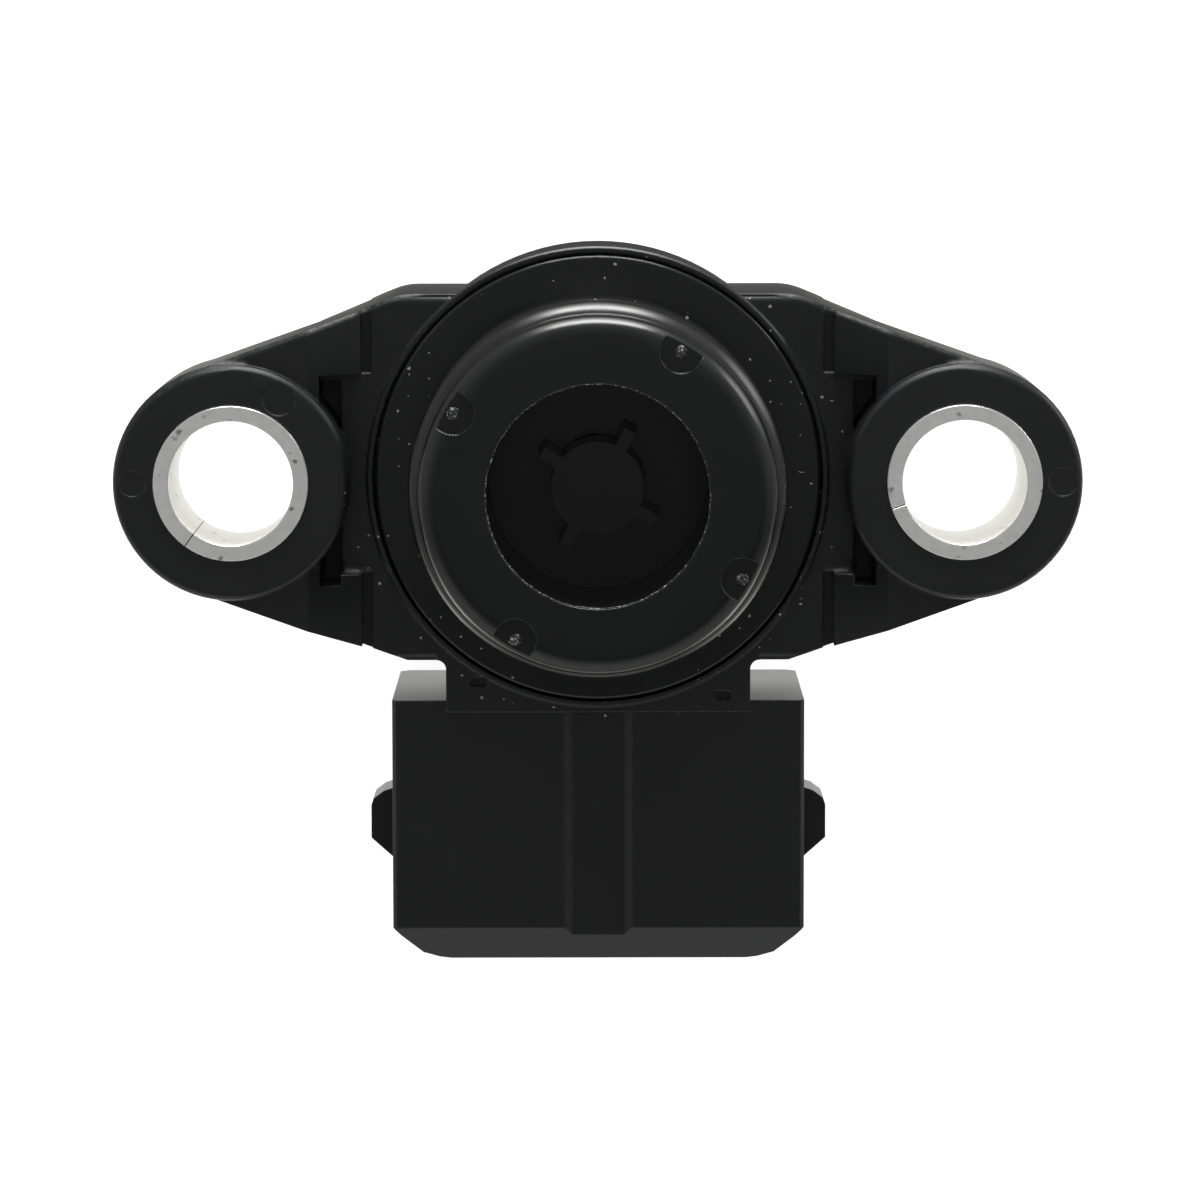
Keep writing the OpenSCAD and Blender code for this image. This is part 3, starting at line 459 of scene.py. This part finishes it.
# Gel ring and gel: a pale moulded ring holds the soft silicone that keeps moisture off the
# chip. The gel is clear and wet-looking.
ring_plastic, tree, shader = two_toned("moulded_pale_polyamide", "#c9c4b4", "#d8d4c6", 1.5, 0.4, ior=1.53)
dress(ring_plastic, "gel_ring")
gel, tree, shader = two_toned("clear_silicone_gel", "#d9dcda", "#e7eae8", 2.0, 0.05, ior=1.41)
shader.inputs["Transmission Weight"].default_value = 0.85
dress(gel, "protective_gel")


# Bond wires: thin gold wire, welded from the chip to the board by heat and sound.
gold, tree, shader = two_toned("drawn_gold_wire", "#c79a3c", "#e3bd63", 0.3, 0.15, metallic=1.0)
dress(gold, "bond_wires")


# Signal chip and capacitors: a black epoxy package with a matt blasted top, and tan fired
# ceramic blocks, all soldered flat on the board.
package, tree, shader = two_toned("blasted_moulding_epoxy", "#1d1e20", "#292a2c", 0.15, 0.55)
dress(package, "signal_chip")
ceramic, tree, shader = two_toned("fired_ceramic", "#a1845a", "#b89a6d", 0.25, 0.35, ior=1.6)
dress(ceramic, "capacitor_supply", "capacitor_output", "capacitor_reference")


# Solder joints: tin alloy wetted up the three posts, bright and slightly frosted.
solder, tree, shader = two_toned("frosted_tin_solder", "#9fa3a6", "#c3c6c8", 0.2, 0.2, metallic=1.0)
dress(solder, "solder_joints")


# Cell seal and flange adhesive: beads of grey silicone and of black epoxy that close the
# chamber round the cell and round the port's flange.
silicone, tree, shader = two_toned("cured_grey_silicone", "#55585b", "#66696c", 0.8, 0.4, ior=1.43)
dress(silicone, "cell_seal")
bead, tree, shader = two_toned("cured_black_epoxy", "#0d0d0e", "#17171a", 0.8, 0.25, ior=1.55)
dress(bead, "flange_adhesive")


# Floor: a pale sheet under the sensor, which keeps the shadow. To camera rays it also glows
# evenly, so that the camera sees it as plain white. Glossy and transmission rays see, in its
# place, a painted reflection: a glowing sheet painted bright in front of the sensor, painted
# dark behind it as painted shade, even far out, and crossed by painted light streaks that stand
# in for the lamps' glints on a glossy floor.
floor_with_painted_reflection, tree, shader, place = new_material("plain_white_floor")
rays = add(tree, "ShaderNodeLightPath")
seen = add(tree, "ShaderNodeMath", {0: rays.outputs["Is Camera Ray"], 1: 0.88}, operation="MULTIPLY")
glow = add(tree, "ShaderNodeEmission", {"Color": hex_linear("#ffffff"), "Strength": seen.outputs[0]})
both = add(tree, "ShaderNodeAddShader", {0: shader.outputs[0], 1: glow.outputs[0]})
parts = add(tree, "ShaderNodeSeparateXYZ", {"Vector": place})
# Painted reflection, brighter in front of the sensor.
painted_front_glow = add(tree, "ShaderNodeMapRange", {"Value": parts.outputs["Y"], "From Min": -10 * MM,
                                        "From Max": -4 * MM, "To Min": 1.4, "To Max": 1.55})
# Painted shade in reflections: the glow fades almost to dark behind the sensor.
back = add(tree, "ShaderNodeMapRange", {"Value": parts.outputs["Y"], "From Min": 3 * MM, "From Max": 13 * MM,
                                        "To Min": 1.0, "To Max": 0.08}, interpolation_type="SMOOTHSTEP")
painted_glow_strength = add(tree, "ShaderNodeMath", {0: painted_front_glow.outputs["Result"], 1: back.outputs["Result"]},
          operation="MULTIPLY")
out = add(tree, "ShaderNodeVectorMath", {0: place}, operation="LENGTH")
far = add(tree, "ShaderNodeMapRange", {"Value": out.outputs["Value"], "From Min": 40 * MM,
                                       "From Max": 80 * MM}, interpolation_type="SMOOTHSTEP")
painted_glow_strength = add(tree, "ShaderNodeMix", {"Factor": far.outputs["Result"], "A": painted_glow_strength.outputs[0],
                                  "B": 0.5}, data_type="FLOAT")
# Painted light streaks at a few bearings, stronger farther out, standing in for lamp glints.
bearing = add(tree, "ShaderNodeMath", {0: parts.outputs["Y"], 1: parts.outputs["X"]}, operation="ARCTAN2")
bearing = add(tree, "ShaderNodeMath", {0: bearing.outputs[0], 1: math.pi}, operation="DIVIDE")
painted_streaks = add(tree, "ShaderNodeValToRGB", {"Fac": bearing.outputs[0]})
stops = painted_streaks.color_ramp.elements
stops[0].position, stops[1].position = 0.06, 0.64
stops[1].color = (0, 0, 0, 1)
for position, grey in ((0.13, 0.25), (0.18, 0.35), (0.23, 0.2), (0.27, 0.0), (0.36, 0.0), (0.42, 0.7),
                       (0.5, 1.0), (0.58, 0.7)):
    stops.new(position).color = (grey, grey, grey, 1)
along = add(tree, "ShaderNodeMapRange", {"Value": out.outputs["Value"], "From Min": 45 * MM,
                                         "From Max": 140 * MM, "To Max": 8.0})
painted_glow_strength = add(tree, "ShaderNodeMath", {0: painted_streaks.outputs["Color"], 1: along.outputs["Result"],
                                   2: painted_glow_strength.outputs["Result"]}, operation="MULTIPLY_ADD")
# The painted reflection: a faintly cream glow that only glossy and transmission rays see.
painted_sheen = add(tree, "ShaderNodeEmission", {"Color": hex_linear("#fefef9"), "Strength": painted_glow_strength.outputs[0]})
mirrored = add(tree, "ShaderNodeMath", {0: rays.outputs["Is Glossy Ray"],
                                        1: rays.outputs["Is Transmission Ray"]}, operation="MAXIMUM")
floor_or_painted_sheen = add(tree, "ShaderNodeMixShader", {0: mirrored.outputs[0], 1: both.outputs[0], 2: painted_sheen.outputs[0]})
tree.links.new(floor_or_painted_sheen.outputs[0], tree.nodes["Material Output"].inputs["Surface"])
shader.inputs["Base Color"].default_value = hex_linear("#f2f2f2")
shader.inputs["Roughness"].default_value = 0.9
low, high = cad_box
mesh = bpy.data.meshes.new("floor")
size = 1.5
mesh.from_pydata([(x * size, y * size, low[2] - 0.02 * MM) for x, y in ((-1, -1), (1, -1), (1, 1), (-1, 1))],
                 [], [(0, 1, 2, 3)])
mesh.materials.append(floor_with_painted_reflection)
floor = bpy.data.objects.new("floor", mesh)
bpy.context.scene.collection.objects.link(floor)

# World: a white tent round the sensor, darker overhead where the camera stands.
world = bpy.data.worlds.new("white_tent")
bpy.context.scene.world = world
world.use_nodes = True
tree = world.node_tree
direction = add(tree, "ShaderNodeTexCoord")
parts = add(tree, "ShaderNodeSeparateXYZ", {"Vector": direction.outputs["Generated"]})
fall = add(tree, "ShaderNodeMapRange", {"Value": parts.outputs["Z"], "From Min": 0.5, "From Max": 0.95,
                                        "To Min": 0.335, "To Max": 0.1}, interpolation_type="SMOOTHSTEP")
ahead = add(tree, "ShaderNodeMath", {0: parts.outputs["Y"], 1: 0.5, 2: 0.5}, operation="MULTIPLY_ADD")
front = add(tree, "ShaderNodeValToRGB", {"Fac": ahead.outputs[0]})
stops = front.color_ramp.elements
stops[0].position, stops[1].position = 0.05, 0.5
stops[0].color, stops[1].color = (0.5, 0.5, 0.5, 1), (0.23, 0.23, 0.23, 1)
for position, grey in ((0.25, 0.24), (0.33, 0.0), (0.43, 0.0), (0.47, 0.12)):
    stops.new(position).color = (grey, grey, grey, 1)
walls = add(tree, "ShaderNodeMath", {0: fall.outputs["Result"], 1: front.outputs["Color"]},
            operation="ADD")
corner = add(tree, "ShaderNodeMath", {0: parts.outputs["X"], 1: parts.outputs["Y"]},
             operation="MULTIPLY")
walls = add(tree, "ShaderNodeMath", {0: corner.outputs[0], 1: 0.18, 2: walls.outputs[0]},
            operation="MULTIPLY_ADD")
rays = add(tree, "ShaderNodeLightPath")
level = add(tree, "ShaderNodeMix", {"Factor": rays.outputs["Is Camera Ray"], "A": walls.outputs[0],
                                    "B": 1.0}, data_type="FLOAT")
tree.links.new(level.outputs["Result"], tree.nodes["Background"].inputs["Strength"])
tree.nodes["Background"].inputs["Color"].default_value = hex_linear("#ffffff")


# Lamps: a large soft box low behind the sensor, which draws the bright arcs on the lip, and a
# weak one to the right.
def soft_box(name, place, aim, size, watts):
    lamp = bpy.data.lights.new(name, "AREA")
    lamp.shape = "RECTANGLE"
    lamp.size, lamp.size_y = size
    lamp.energy = watts
    stand = bpy.data.objects.new(name, lamp)
    stand.location = place
    stand.rotation_euler = (Vector(aim) - Vector(place)).to_track_quat("-Z", "Y").to_euler()
    bpy.context.scene.collection.objects.link(stand)


soft_box("box_low", (0, 0.45, 0.06), (0, 0, 0.03), (0.28, 0.18), 3.0)
soft_box("box_right", (0.38, 0.23, 0.06), (0, 0, 0.03), (0.14, 0.16), 0.3)

# Camera: straight above the port and a little towards the top of the picture, with the
# sensor turned a tenth of a degree in the frame, as in the photo.
lens = bpy.data.cameras.new("camera")
lens.sensor_width = 36
lens.lens = 5538 * 36 / 1200
lens.clip_start = 0.01
camera = bpy.data.objects.new("camera", lens)
camera.location = (0.0 * MM, 24.4 * MM, 291 * MM)
aim = Vector((0.107 * MM, -6.19 * MM, 0))
roll = math.radians(0.1)
back = (camera.location - aim).normalized()
level_across = Vector((0, 1, 0)).cross(back).normalized()
level_up = back.cross(level_across)
across = level_across * math.cos(roll) - level_up * math.sin(roll)
up = level_up * math.cos(roll) + level_across * math.sin(roll)
camera.rotation_euler = Matrix((across, up, back)).transposed().to_euler()
bpy.context.scene.collection.objects.link(camera)
bpy.context.scene.camera = camera
bpy.context.scene.view_settings.view_transform = "Standard"
